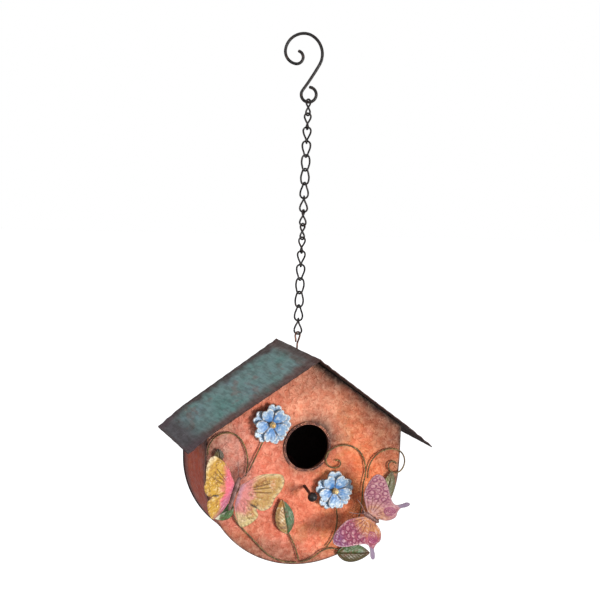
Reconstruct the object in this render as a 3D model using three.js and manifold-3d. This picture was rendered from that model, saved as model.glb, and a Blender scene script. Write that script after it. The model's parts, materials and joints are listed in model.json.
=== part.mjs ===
// A hanging sheet-metal birdhouse: a scroll hook, a chain of twisted wire links, a corrugated gable
// roof, a body with a round bottom, an entrance hole, a perch and a clean-out door, and painted
// sheet-metal flowers, butterflies and leaves on wire vines across the front.
// Millimetres, +Z up, the front faces -Y. The origin is where the hook hangs, inside its crown.

import * as THREE from "three";
import { mergeVertices } from "three/addons/utils/BufferGeometryUtils.js";
import Module from "manifold-3d";

const wasm = await Module();
wasm.setup();

// ---- driving dimensions -------------------------------------------------------------------
const GAP = 0.3; // clearance left where two pieces touch

const HOOK = { wire: 1.3, turn: -20.5, lowest: -54.5 }; // turn: the hook's plane about +Z, in degrees
const LINK = { count: 17, wire: 0.8, pitch: 11.631, halfWidth: 3.4, twist: 70, firstTurn: 34.5 };
const EYE = { wire: 0.8, halfWidth: 3.0, loop: 9.6, shankEnd: -275.5, turn: 29.5, flange: 4.5 };

const RIDGE_Z = -264; // top of the roof's fold
const HOUSE_Y = 3.6; // the body's middle; the ornaments' weight in front brings the balance to y = 0
const ROOF = {
  slope: 34.8, // degrees below level
  gutter: { left: 40.4, right: 37.1 }, // the slope past the walls
  half: { left: 106.4, right: 110.4 },
  sheet: 0.8,
  wave: 0.55, // crest to valley
  pitch: 9.3,
  front: { ridge: -62, eave: -51.5 }, // from the body's middle
  back: { ridge: 52.5, eave: 51 },
};
const BODY = { half: 87, depth: 73.5, floorRise: 82.4, floorTop: -362.6, sheet: 0.9, bandSheet: 0.8 };
const HOLE = { x: 1.1, z: -342.8, radius: 19.05 };
const DOOR = { z: -386, radius: 26, hole: 22, sheet: 0.9, pivotZ: -355, pin: 1.5 };
const BUTTERFLY_STANDOFF = 13.25;
const VINE = { wire: 0.65, standoff: 2.2 };
const FLOWER = { sheet: 0.6, back: 18, front: 15.6 };
const PERCH = { wire: 1.3, ball: 4, reach: 20, drop: 4.3, x: 0.5, z: -376.7 };

// ---- finishes -----------------------------------------------------------------------------
const FINISH = {
  wire: { color: 0x2b2320, roughness: 0.5, metalness: 0.6 },
  brownWire: { color: 0x5b3b2c, roughness: 0.55, metalness: 0.5 },
  roof: { color: 0x5d7b7a, roughness: 0.6, metalness: 0.35 },
  coral: { color: 0xe07a5c, roughness: 0.5, metalness: 0.3 },
  copper: { color: 0x8a4a3c, roughness: 0.5, metalness: 0.4 },
  rim: { color: 0x6e4136, roughness: 0.4, metalness: 0.6 },
  vine: { color: 0x6c5a2c, roughness: 0.55, metalness: 0.4 },
  petal: { color: 0x8bbbe6, roughness: 0.5, metalness: 0.15 },
  bead: { color: 0xd9b272, roughness: 0.3, metalness: 0.8 },
  leaf: { color: 0x4c6b35, roughness: 0.55, metalness: 0.2 },
  yellowWing: { color: 0xe0b13c, roughness: 0.5, metalness: 0.2 },
  pinkWing: { color: 0xc77399, roughness: 0.5, metalness: 0.2 },
  insect: { color: 0x7a5a56, roughness: 0.55, metalness: 0.3 },
};

const group = new THREE.Group();

function add(name, geometry, finish) {
  const mesh = new THREE.Mesh(geometry, new THREE.MeshStandardMaterial(finish));
  mesh.name = name;
  group.add(mesh);
  return mesh;
}

// ---- shapes -------------------------------------------------------------------------------
const radians = THREE.MathUtils.degToRad;

function disc(radius, sides) {
  const points = [];
  for (let i = 0; i < sides; i++) {
    const angle = (2 * Math.PI * i) / sides;
    points.push(new THREE.Vector2(radius * Math.cos(angle), radius * Math.sin(angle)));
  }
  return new THREE.Shape(points);
}

// A round wire along a curve.
function rod(curve, radius, { sides = 6, step = 3 } = {}) {
  const steps = Math.max(2, Math.round(curve.getLength() / step));
  return new THREE.ExtrudeGeometry(disc(radius, sides), { steps, extrudePath: curve });
}

// A flat sheet cut to an outline drawn as (x, z), standing upright, its front face at y = front.
function sheet(shape, front, thickness) {
  const plate = new THREE.ExtrudeGeometry(shape, { depth: thickness, bevelEnabled: false });
  plate.rotateX(Math.PI / 2);
  plate.translate(0, front + thickness, 0);
  return plate;
}

// A body turned about the Y axis from a list of (radius, y), which starts and ends on the axis or
// else closes on itself.
function turned(profile, segments) {
  const points = profile.map(([r, y]) => new THREE.Vector2(r, y));
  if (profile[0][0] > 0) points.push(points[0]);
  return new THREE.LatheGeometry(points, segments);
}

const arc = (radius, turn) => ({ length: radius * Math.abs(radians(turn)), turn });
const straight = (length) => ({ length, turn: 0 });

// A wire bent in the XZ plane at a fixed y. Bends follow one another smoothly; a positive turn, in
// degrees, goes from +X towards +Z.
class BentWire extends THREE.Curve {
  constructor(start, heading, bends, y = 0) {
    super();
    Object.assign(this, { start, heading: radians(heading), bends, y });
    this.total = bends.reduce((sum, bend) => sum + bend.length, 0);
  }

  getPoint(t) {
    let [x, z] = this.start;
    let heading = this.heading;
    let left = t * this.total;
    for (const bend of this.bends) {
      const length = Math.min(left, bend.length);
      const curvature = radians(bend.turn) / bend.length;
      const next = heading + curvature * length;
      if (curvature === 0) {
        x += length * Math.cos(heading);
        z += length * Math.sin(heading);
      } else {
        x += (Math.sin(next) - Math.sin(heading)) / curvature;
        z -= (Math.cos(next) - Math.cos(heading)) / curvature;
      }
      heading = next;
      left -= length;
      if (left <= 0) break;
    }
    return new THREE.Vector3(x, this.y, z);
  }
}

// ---- joining and cutting ------------------------------------------------------------------
function solid(geometry) {
  const bare = geometry.clone();
  bare.deleteAttribute("normal");
  bare.deleteAttribute("uv");
  const merged = mergeVertices(bare, 1e-4);
  const mesh = new wasm.Mesh({
    numProp: 3,
    vertProperties: new Float32Array(merged.attributes.position.array),
    triVerts: new Uint32Array(merged.index.array),
  });
  mesh.merge();
  return new wasm.Manifold(mesh);
}

function geometryOf(manifold) {
  const mesh = manifold.getMesh();
  const geometry = new THREE.BufferGeometry();
  geometry.setAttribute("position", new THREE.BufferAttribute(mesh.vertProperties, 3));
  geometry.setIndex(new THREE.BufferAttribute(mesh.triVerts, 1));
  return geometry;
}

// ---- hook ---------------------------------------------------------------------------------
function makeHook() {
  const bends = [
    arc(5.5, -174),
    arc(10.5, -88),
    arc(15.7, -78),
    arc(13.5, -34),
    arc(17.7, -88),
    arc(221, -6.5),
    arc(6.3, 301),
  ];
  const geometry = rod(new BentWire([-10.1, -12.4], -16, bends), HOOK.wire, { sides: 8, step: 2.6 });
  add("hook", geometry, FINISH.wire).rotation.z = radians(HOOK.turn);
}

// ---- chain --------------------------------------------------------------------------------
// One link is a long loop of wire, twisted about its length, its two ends butted halfway up one leg.
class LinkCurve extends THREE.Curve {
  getPoint(t) {
    const bow = LINK.halfWidth;
    const leg = LINK.pitch + 2 * LINK.wire + GAP - 2 * bow;
    const seam = 0.006;
    const around = 2 * leg + 2 * Math.PI * bow;
    let s = (seam + t * (1 - 2 * seam)) * around - leg / 2;
    let x = bow;
    let z = s;
    if (s > leg / 2 && s <= leg / 2 + Math.PI * bow) {
      const angle = (s - leg / 2) / bow;
      x = bow * Math.cos(angle);
      z = leg / 2 + bow * Math.sin(angle);
    } else if (s > leg / 2 + Math.PI * bow && s <= 1.5 * leg + Math.PI * bow) {
      x = -bow;
      z = leg / 2 - (s - leg / 2 - Math.PI * bow);
    } else if (s > 1.5 * leg + Math.PI * bow) {
      const angle = (s - 1.5 * leg - Math.PI * bow) / bow;
      x = -bow * Math.cos(angle);
      z = -leg / 2 - bow * Math.sin(angle);
    }
    // The twist runs from the upper bow to the lower bow.
    const share = THREE.MathUtils.smoothstep(-z, -leg / 2 - 0.5 * bow, leg / 2 + 0.5 * bow);
    const twist = radians(LINK.twist) * share;
    return new THREE.Vector3(x * Math.cos(twist), x * Math.sin(twist), z);
  }
}

function makeChain() {
  const geometry = rod(new LinkCurve(), LINK.wire, { sides: 6, step: 1.9 });
  const firstTop = HOOK.lowest + HOOK.wire + GAP + LINK.wire;
  const middle = (LINK.pitch + 2 * LINK.wire + GAP) / 2;
  for (let i = 0; i < LINK.count; i++) {
    const name = `link_${String(i + 1).padStart(2, "0")}`;
    const link = add(name, geometry, FINISH.wire);
    link.position.z = firstTop - middle - i * LINK.pitch;
    link.rotation.z = radians(LINK.firstTurn + i * (LINK.twist + 90));
  }
  return firstTop - (LINK.count - 1) * LINK.pitch - 2 * middle;
}

// ---- roof eye -----------------------------------------------------------------------------
// A teardrop loop over a shank that passes through the ridge; a flanged nut holds it inside.
function makeEye(lastLinkBottom) {
  const top = lastLinkBottom + LINK.wire + GAP + EYE.wire;
  const neck = top - EYE.loop;
  const points = [
    [0, EYE.shankEnd],
    [0, neck - 3],
    [0.2, neck],
    [EYE.halfWidth * 0.55, neck + 3],
    [EYE.halfWidth, top - 2.9],
    [EYE.halfWidth * 0.7, top - 0.75],
    [0, top],
    [-EYE.halfWidth * 0.7, top - 0.75],
    [-EYE.halfWidth, top - 2.9],
    [-EYE.halfWidth * 0.75, neck + 3.4],
    [-EYE.wire * 2.5, neck + 1.2],
  ].map(([x, z]) => new THREE.Vector3(x, 0, z));
  const curve = new THREE.CatmullRomCurve3(points);
  const eye = add("roof_eye", rod(curve, EYE.wire, { sides: 8, step: 1.3 }), FINISH.brownWire);
  eye.rotation.z = radians(EYE.turn);

  const under = RIDGE_Z - EYE.flange * Math.tan(radians(ROOF.slope))
    - (ROOF.sheet + ROOF.wave) / Math.cos(radians(ROOF.slope)) - GAP;
  const bore = EYE.wire + GAP;
  const body = 2.8;
  const rim = under - 1;
  const foot = under - 3.6;
  const nut = turned(
    [[bore, foot], [body, foot], [body, rim], [EYE.flange, rim], [EYE.flange, under], [bore, under]],
    12,
  );
  nut.rotateX(Math.PI / 2);
  add("eye_nut", nut, FINISH.brownWire);
}

// ---- roof ---------------------------------------------------------------------------------
function ridgeDrop(x) {
  const side = x < 0 ? "left" : "right";
  const reach = Math.abs(x);
  const past = Math.max(0, reach - BODY.half);
  return Math.min(reach, BODY.half) * Math.tan(radians(ROOF.slope))
    + past * Math.tan(radians(ROOF.gutter[side]));
}

function makeRoof() {
  const top = [];
  const under = [];
  const perWave = 4;
  for (const [side, sign] of [["left", -1], ["right", 1]]) {
    const count = Math.round((ROOF.half[side] / Math.cos(radians(ROOF.slope)) / ROOF.pitch) * perWave);
    const half = [];
    for (let i = sign < 0 ? 0 : 1; i <= count; i++) {
      const x = (sign * ROOF.half[side] * i) / count;
      const dip = (ROOF.wave / 2) * (1 - Math.cos((2 * Math.PI * i) / perWave));
      half.push(new THREE.Vector2(x, RIDGE_Z - ridgeDrop(x) - dip / Math.cos(radians(ROOF.slope))));
    }
    if (sign < 0) half.reverse();
    top.push(...half);
  }
  for (const point of top) {
    under.unshift(new THREE.Vector2(point.x, point.y - ROOF.sheet / Math.cos(radians(ROOF.slope))));
  }
  const length = ROOF.back.ridge - ROOF.front.ridge;
  const plate = new THREE.ExtrudeGeometry(new THREE.Shape([...top, ...under]), {
    depth: length,
    bevelEnabled: false,
  });
  plate.rotateX(Math.PI / 2);
  // The front and back edges lean in a little from the ridge to the eaves.
  const place = plate.attributes.position;
  for (let i = 0; i < place.count; i++) {
    const share = Math.abs(place.getX(i)) / ROOF.half.right;
    const front = THREE.MathUtils.lerp(ROOF.front.ridge, ROOF.front.eave, share);
    const back = THREE.MathUtils.lerp(ROOF.back.ridge, ROOF.back.eave, share);
    place.setY(i, HOUSE_Y + (place.getY(i) < -length / 2 ? front : back));
  }
  const hole = new THREE.CylinderGeometry(EYE.wire + GAP, EYE.wire + GAP, 8, 12);
  hole.rotateX(Math.PI / 2);
  hole.translate(0, 0, RIDGE_Z);
  add("roof", geometryOf(solid(plate).subtract(solid(hole))), FINISH.roof);
}

// ---- body ---------------------------------------------------------------------------------
const bodyFront = HOUSE_Y - BODY.depth / 2;
const bodyBack = HOUSE_Y + BODY.depth / 2;
const roofSkin = ROOF.sheet + ROOF.wave + 0.5; // from the ridge line down to the walls, square to the slope
const wallDrop = roofSkin / Math.cos(radians(ROOF.slope));

// The wall's outline, drawn in by inset: gable above, upright sides, half an ellipse below.
function wallOutline(inset) {
  const half = BODY.half - inset;
  const rise = BODY.floorRise - inset;
  const eave = RIDGE_Z - wallDrop - ridgeDrop(half);
  const shape = new THREE.Shape();
  shape.moveTo(0, RIDGE_Z - wallDrop);
  shape.lineTo(-half, eave);
  shape.lineTo(-half, BODY.floorTop);
  shape.absellipse(0, BODY.floorTop, half, rise, Math.PI, 2 * Math.PI, false, 0);
  shape.lineTo(half, eave);
  return shape;
}

function makeWalls() {
  const front = wallOutline(0);
  const entrance = new THREE.Path();
  entrance.absarc(HOLE.x, HOLE.z, HOLE.radius + 0.4 + GAP, 0, 2 * Math.PI);
  front.holes.push(entrance);
  add("front_panel", sheet(front, bodyFront, BODY.sheet), FINISH.coral);

  const back = wallOutline(0);
  const cleanout = new THREE.Path();
  cleanout.absarc(0, DOOR.z, DOOR.hole, 0, 2 * Math.PI);
  const rivetHole = new THREE.Path();
  rivetHole.absarc(0, DOOR.pivotZ, DOOR.pin + GAP, 0, 2 * Math.PI);
  back.holes.push(cleanout, rivetHole);
  add("back_panel", sheet(back, bodyBack - BODY.sheet, BODY.sheet), FINISH.copper);

  // The band runs down one side, round the bottom and up the other side, open at the top.
  const lip = 0.9;
  const band = new THREE.Shape();
  const outer = BODY.half - lip;
  const inner = outer - BODY.bandSheet;
  const top = RIDGE_Z - wallDrop - ridgeDrop(BODY.half) - 0.6;
  const rise = BODY.floorRise - lip;
  band.moveTo(-outer, top);
  band.lineTo(-outer, BODY.floorTop);
  band.absellipse(0, BODY.floorTop, outer, rise, Math.PI, 2 * Math.PI, false, 0);
  band.lineTo(outer, top);
  band.lineTo(inner, top);
  band.lineTo(inner, BODY.floorTop);
  band.absellipse(0, BODY.floorTop, inner, rise - BODY.bandSheet, 2 * Math.PI, Math.PI, true, 0);
  band.lineTo(-inner, top);
  const depth = BODY.depth - 2 * BODY.sheet - 2 * GAP;
  add("side_band", sheet(band, bodyFront + BODY.sheet + GAP, depth), FINISH.copper);
}

// A rolled rim grips the edge of the entrance hole from both faces.
function makeEntranceRim() {
  const r = HOLE.radius;
  const face = bodyFront;
  const behind = bodyFront + BODY.sheet;
  const profile = [
    [r, face - 0.9],
    [r + 0.6, face - 1.25],
    [r + 1.6, face - 1.25],
    [r + 2.3, face - 0.8],
    [r + 2.1, face - GAP],
    [r + 0.4, face - GAP],
    [r + 0.4, behind + GAP],
    [r + 1.6, behind + GAP],
    [r + 1.6, behind + GAP + 0.6],
    [r, behind + GAP + 0.6],
  ];
  const rim = add("entrance_rim", turned(profile, 32), FINISH.rim);
  rim.position.set(HOLE.x, 0, HOLE.z);
}

// A short wire with a ball on its end, drooping a little.
function makePerch() {
  const root = new THREE.Vector3(PERCH.x, bodyFront - GAP, PERCH.z);
  const tip = new THREE.Vector3(PERCH.x, bodyFront - PERCH.reach, PERCH.z - PERCH.drop);
  const wire = rod(new THREE.LineCurve3(root, tip), PERCH.wire, { sides: 8, step: 10 });
  const ball = new THREE.SphereGeometry(PERCH.ball, 12, 8);
  ball.translate(tip.x, tip.y, tip.z);
  add("perch", geometryOf(solid(wire).add(solid(ball))), FINISH.wire);
}

// A round plate over the clean-out hole swings aside on a rivet above it.
function makeCleanout() {
  const face = bodyBack + GAP;
  const knobZ = DOOR.z - DOOR.radius * 0.6;
  const shape = new THREE.Shape();
  shape.absarc(0, DOOR.z, DOOR.radius, radians(105), radians(435), false);
  shape.absarc(0, DOOR.pivotZ, 6, 0, Math.PI, false);
  const rivetHole = new THREE.Path();
  rivetHole.absarc(0, DOOR.pivotZ, DOOR.pin + GAP, 0, 2 * Math.PI);
  const knobHole = new THREE.Path();
  knobHole.absarc(0, knobZ, DOOR.pin + GAP, 0, 2 * Math.PI);
  shape.holes.push(rivetHole, knobHole);
  add("cleanout_door", sheet(shape, face, DOOR.sheet), FINISH.copper);

  const behind = bodyBack - BODY.sheet - GAP;
  const outside = face + DOOR.sheet + GAP;
  const rivet = turned(
    [
      [0, behind - 1],
      [3.4, behind - 1],
      [3.4, behind],
      [DOOR.pin, behind],
      [DOOR.pin, outside],
      [3.4, outside],
      [2.4, outside + 1.2],
      [0, outside + 1.6],
    ],
    12,
  );
  add("door_rivet", rivet, FINISH.rim).position.z = DOOR.pivotZ;

  const knob = turned(
    [
      [0, face],
      [DOOR.pin, face],
      [DOOR.pin, outside],
      [3.2, outside],
      [4.2, outside + 2.7],
      [3.4, outside + 5.1],
      [0, outside + 5.7],
    ],
    12,
  );
  add("door_knob", knob, FINISH.rim).position.z = knobZ;
}

// ---- vines --------------------------------------------------------------------------------
const vineY = bodyFront - VINE.standoff;

function vine(name, start, heading, bends) {
  const curve = new BentWire(start, heading, bends, vineY);
  add(name, rod(curve, VINE.wire, { sides: 6, step: 2.6 }), FINISH.vine);
}

function makeVines() {
  vine("vine_arch", [-86.1, -346], 98, [arc(15.6, -154), arc(36.3, -50)]);
  vine("vine_left_trunk", [-4.6, -442.2], 181, [arc(41.1, -47), straight(31), arc(23.9, -92)]);
  const inward = [arc(28.2, 35), arc(20.4, 105), arc(8.4, 166), arc(3.1, 187)];
  const outward = [straight(4.6), arc(20.2, -105), arc(11.3, -112), arc(7.2, -133), arc(3.8, -166)];
  vine("vine_inner_scroll", [54.3, -371], 79, inward);
  vine("vine_outer_scroll", [57.2, -371.6], 90, outward);
  vine("vine_right_trunk", [54.2, -371.9], -102, [arc(53.2, 14), arc(73.2, -39)]);
  vine("vine_centre_stem", [-2.6, -440.4], 104, [arc(83.6, 21)]);
  vine("vine_right_stem", [-1.2, -442.2], 5, [arc(29.7, 34), arc(17.1, -72)]);
  vine("flower_1_stem", [-34.5, -327], -114.8, [straight(37.4)]);
  vine("flower_2_stem", [28, -388], -80, [straight(14), arc(34, -52)]);
}

// ---- leaves -------------------------------------------------------------------------------
// A leaf runs from its base to its tip; bulge is its half width, and lean moves the widest place.
function leaf(name, base, tip, bulge, y = vineY - VINE.wire - GAP) {
  const along = new THREE.Vector2().subVectors(tip, base);
  const across = new THREE.Vector2(-along.y, along.x).normalize().multiplyScalar(bulge * 1.5);
  const at = (share, side) => base.clone().addScaledVector(along, share).addScaledVector(across, side);
  const shape = new THREE.Shape();
  shape.moveTo(base.x, base.y);
  for (const side of [1, -1]) {
    const [from, to] = side > 0 ? [at(0.22, side), at(0.7, side * 0.8)] : [at(0.7, -0.8), at(0.22, -1)];
    const end = side > 0 ? tip : base;
    shape.bezierCurveTo(from.x, from.y, to.x, to.y, end.x, end.y);
  }
  const plate = new THREE.ExtrudeGeometry(shape, { depth: 0.6, bevelEnabled: false, curveSegments: 10 });
  plate.rotateX(Math.PI / 2);
  plate.translate(0, y, 0);
  add(name, plate, FINISH.leaf);
}

function makeLeaves() {
  leaf("leaf_centre", new THREE.Vector2(-14, -417), new THREE.Vector2(-20.8, -386.3), 8.2);
  leaf("leaf_lower_right", new THREE.Vector2(31.5, -436), new THREE.Vector2(62.9, -438), 8);
  leaf("leaf_lower_left", new THREE.Vector2(-62, -391), new THREE.Vector2(-80.2, -399.4), 7);
  leaf("leaf_right", new THREE.Vector2(73.5, -394), new THREE.Vector2(79.5, -366), 6.2);
  leaf("leaf_left", new THREE.Vector2(-76, -352.5), new THREE.Vector2(-78, -341), 4);
}

// ---- flowers ------------------------------------------------------------------------------
// Five heart-shaped petals cut from one disc, cupped towards the front.
function petals(name, centre, radius, turn, hub, cup) {
  const shape = new THREE.Shape();
  const perPetal = 12;
  for (let i = 0; i < 5 * perPetal; i++) {
    const offset = ((i % perPetal) / perPetal) * 72 - 36; // degrees from the petal's own middle
    const angle = radians(turn + Math.floor(i / perPetal) * 72 + offset);
    const lobe = Math.pow(Math.max(0, Math.cos(radians(offset * 2.5))), 0.4);
    const notch = 0.14 * Math.exp(-((offset / 6) ** 2));
    const r = radius * (0.34 + 0.66 * lobe - notch);
    const point = [r * Math.cos(angle), r * Math.sin(angle)];
    if (i === 0) shape.moveTo(...point);
    else shape.lineTo(...point);
  }
  const plate = new THREE.ExtrudeGeometry(shape, { depth: FLOWER.sheet, bevelEnabled: false });
  plate.rotateX(Math.PI / 2);
  const place = plate.attributes.position;
  for (let i = 0; i < place.count; i++) {
    const share = Math.hypot(place.getX(i), place.getZ(i)) / radius;
    place.setY(i, place.getY(i) + hub - cup * share * share);
  }
  add(name, plate, FINISH.petal).position.set(centre.x, 0, centre.y);
}

function makeFlower(name, centre, turn) {
  const backHub = vineY - VINE.wire - GAP;
  const frontHub = backHub - FLOWER.sheet - GAP - 1.4;
  petals(`${name}_back_petals`, centre, FLOWER.back, turn + 36, backHub, 1.6);
  petals(`${name}_front_petals`, centre, FLOWER.front, turn, frontHub, 2.6);
  const bead = new THREE.SphereGeometry(2.2, 10, 6);
  add(`${name}_bead`, bead, FINISH.bead).position.set(centre.x, frontHub - 3.6, centre.y);
}

// ---- butterflies --------------------------------------------------------------------------
// Wing outlines are (along the body towards the head, out from the body).
const SWALLOW_WING = [
  [5, 3], [12, 8], [20, 15], [25, 24], [28, 34], [27, 40], [22, 41], [14, 37.5], [5, 31], [-2, 26],
  [-7, 24.6], [-10.2, 28], [-12, 32.3], [-14.6, 33.8], [-16.4, 32], [-15.4, 28], [-13.2, 24.6],
  [-14.5, 19], [-17, 14], [-15, 7], [-8, 3],
];
const HEAD = 12.4; // from the wings' root to the front of a plain body's head
const ROUND_WING = [
  [7, 3], [13, 8.5], [20, 15.5], [25, 26], [26.5, 34], [22, 37.5], [14, 37], [6, 34], [0, 33.5],
  [-5.2, 29.5], [-6.8, 25.4], [-6.6, 22], [-8.4, 23], [-11.5, 25.2], [-17, 23], [-22.5, 18.5],
  [-25, 13.5], [-19.5, 8], [-12, 4], [-5, 3],
];

function makeButterfly(name, { x, z, axis, body: stretch, wings, outline, finish }) {
  const y = bodyFront - BUTTERFLY_STANDOFF;
  const root = new THREE.Group();
  root.position.set(x, y, z);
  root.rotation.y = -radians(axis);
  group.add(root);

  // Along the body is +X here, and +Z is its left side seen from the front.
  const bodyShape = turned(
    [
      [0, -15],
      [1.3, -13.5],
      [2.2, -8],
      [1.7, -1],
      [2.5, 3],
      [2.3, 6.5],
      [1.2, 8],
      [1.8, 9.5],
      [1.5, 11.5],
      [0, HEAD],
    ],
    8,
  );
  bodyShape.rotateZ(-Math.PI / 2);
  bodyShape.scale(stretch, 1, 1);
  const body = add(`${name}_body`, bodyShape, FINISH.insect);
  root.add(body);

  for (const [side, sign, lift] of [["left", 1, wings.left], ["right", -1, wings.right]]) {
    const points = outline.map(([along, out]) => new THREE.Vector2(along, out));
    const spline = new THREE.SplineCurve([...points, points[0]]);
    const shape = new THREE.Shape(spline.getPoints(2.5 * outline.length).slice(0, -1));
    const wing = new THREE.ExtrudeGeometry(shape, { depth: 0.6, bevelEnabled: false });
    wing.translate(0, 0, -0.3);
    const piece = add(`${name}_${side}_wing`, wing, finish);
    // A quarter turn stands the wing upright beside the body, and the lift tips it off the wall.
    piece.rotation.x = sign * radians(90 + lift);
    root.add(piece);
  }

  const ahead = HEAD * (stretch - 1);
  const feeler = [];
  for (const sign of [1, -1]) {
    const points = [
      [10.5, -2, 0.9 * sign],
      [15, -3.4, 3 * sign],
      [20, -3.6, 5.4 * sign],
      [24, -2.8, 6.4 * sign],
    ].map(([along, y, z]) => new THREE.Vector3(along + ahead, y, z));
    feeler.push(solid(rod(new THREE.CatmullRomCurve3(points), 0.4, { sides: 5, step: 3.5 })));
  }
  const joinBar = new THREE.CatmullRomCurve3([
    new THREE.Vector3(10.6 + ahead, -2, -1.3),
    new THREE.Vector3(10.4 + ahead, -2.3, 0),
    new THREE.Vector3(10.6 + ahead, -2, 1.3),
  ]);
  const feelers = feeler[0].add(feeler[1]).add(solid(rod(joinBar, 0.45, { sides: 5, step: 1.3 })));
  const antennae = add(`${name}_antennae`, geometryOf(feelers), FINISH.insect);
  root.add(antennae);

  const post = new THREE.LineCurve3(
    new THREE.Vector3(x, bodyFront - GAP, z),
    new THREE.Vector3(x, y + 2.1 + GAP, z),
  );
  add(`${name}_post`, rod(post, 0.9, { sides: 6, step: 20 }), FINISH.vine);
}

makeHook();
makeEye(makeChain());
makeRoof();
makeWalls();
makeEntranceRim();
makePerch();
makeCleanout();
makeVines();
makeLeaves();
makeFlower("flower_1", new THREE.Vector2(-32.7, -321.9), 45);
makeFlower("flower_2", new THREE.Vector2(26.1, -380.7), 54);
makeButterfly("butterfly_1", {
  x: -65.2,
  z: -375.6,
  axis: 74,
  body: 1.12,
  wings: { left: 22, right: 37 },
  outline: ROUND_WING,
  finish: FINISH.yellowWing,
});
makeButterfly("butterfly_2", {
  x: 56.3,
  z: -402.4,
  axis: 147,
  body: 0.75,
  wings: { left: 32, right: 34 },
  outline: SWALLOW_WING,
  finish: FINISH.pinkWing,
});

export default group;
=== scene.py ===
"""Dresses the hanging metal birdhouse: a hammered and painted front, a patinated corrugated roof,
embossed butterflies, petals and leaves, and smoothly bent wires. Metres, in the frame of the CAD part."""

import json
import math

import bmesh
import bpy
import numpy as np
from mathutils import Matrix, Vector, noise
from mathutils.geometry import delaunay_2d_cdt

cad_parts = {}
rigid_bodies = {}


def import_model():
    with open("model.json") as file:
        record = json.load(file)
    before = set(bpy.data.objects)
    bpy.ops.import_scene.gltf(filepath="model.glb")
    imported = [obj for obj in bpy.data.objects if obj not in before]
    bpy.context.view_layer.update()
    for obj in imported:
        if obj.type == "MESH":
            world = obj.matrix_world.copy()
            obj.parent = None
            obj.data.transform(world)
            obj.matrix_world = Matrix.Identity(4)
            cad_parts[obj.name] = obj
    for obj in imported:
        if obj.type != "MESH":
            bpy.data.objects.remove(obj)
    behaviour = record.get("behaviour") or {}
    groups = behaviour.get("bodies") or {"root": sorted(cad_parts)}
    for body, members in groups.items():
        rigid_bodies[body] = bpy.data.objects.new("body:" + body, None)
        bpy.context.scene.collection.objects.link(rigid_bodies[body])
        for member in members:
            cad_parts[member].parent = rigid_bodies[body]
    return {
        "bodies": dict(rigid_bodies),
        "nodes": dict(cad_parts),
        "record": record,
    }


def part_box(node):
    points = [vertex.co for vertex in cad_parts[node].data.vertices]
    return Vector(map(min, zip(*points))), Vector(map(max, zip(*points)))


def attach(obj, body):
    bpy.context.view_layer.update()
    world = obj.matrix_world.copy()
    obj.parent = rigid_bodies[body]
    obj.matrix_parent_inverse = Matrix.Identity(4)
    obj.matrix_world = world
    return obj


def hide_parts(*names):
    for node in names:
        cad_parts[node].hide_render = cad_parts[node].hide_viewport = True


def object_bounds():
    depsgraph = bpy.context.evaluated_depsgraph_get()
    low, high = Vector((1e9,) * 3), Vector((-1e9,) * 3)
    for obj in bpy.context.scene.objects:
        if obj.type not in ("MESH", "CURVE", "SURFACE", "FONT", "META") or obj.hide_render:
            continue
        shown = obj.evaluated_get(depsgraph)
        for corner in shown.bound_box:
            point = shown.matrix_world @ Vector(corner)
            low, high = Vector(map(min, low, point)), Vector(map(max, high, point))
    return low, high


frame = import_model()
cad_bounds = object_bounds()

MM = 0.001
FRONT = Vector((0, -1, 0))
BACK = Vector((0, 1, 0))
HOUSE_SHEET = 0.85 * MM  # how thick the metal of the house is
THIN_SHEET = 0.55 * MM  # petals and wings
LEAF_SHEET = 0.5 * MM
RIM_RADIUS = 21  # this and the next two in millimetres, as distances in the paint are
ROOF_DEPTH = 108
BAND_WIDTH = 71
INSIDE = 0x3A2823  # dark bare metal inside the house
BODY_OF = {node: body for body, nodes in frame["record"]["behaviour"]["bodies"].items() for node in nodes}


# ---- camera and light
def make_camera():
    azimuth = math.radians(-19.9)
    elevation = math.radians(6.66)
    roll = math.radians(2.66)
    distance = 1.1448
    target = Vector((0.0007, 0, -0.2223))
    away = Vector((
        math.sin(azimuth) * math.cos(elevation),
        -math.cos(azimuth) * math.cos(elevation),
        math.sin(elevation),
    ))
    camera = bpy.data.objects.new("camera", bpy.data.cameras.new("camera"))
    camera.data.sensor_width = 36
    camera.data.lens = 80.23
    camera.data.clip_start = 0.02
    camera.matrix_world = (
        Matrix.Translation(target + away * distance)
        @ (-away).to_track_quat("-Z", "Y").to_matrix().to_4x4()
        @ Matrix.Rotation(roll, 4, "Z")
    )
    bpy.context.scene.collection.objects.link(camera)
    bpy.context.scene.camera = camera


def make_lamp(name, place, size, power, colour, aim):
    lamp = bpy.data.lights.new(name, "AREA")
    lamp.size = size
    lamp.energy = power
    lamp.color = colour
    holder = bpy.data.objects.new(name, lamp)
    holder.location = place
    holder.rotation_euler = (Vector(aim) - Vector(place)).to_track_quat("-Z", "Y").to_euler()
    bpy.context.scene.collection.objects.link(holder)


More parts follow.
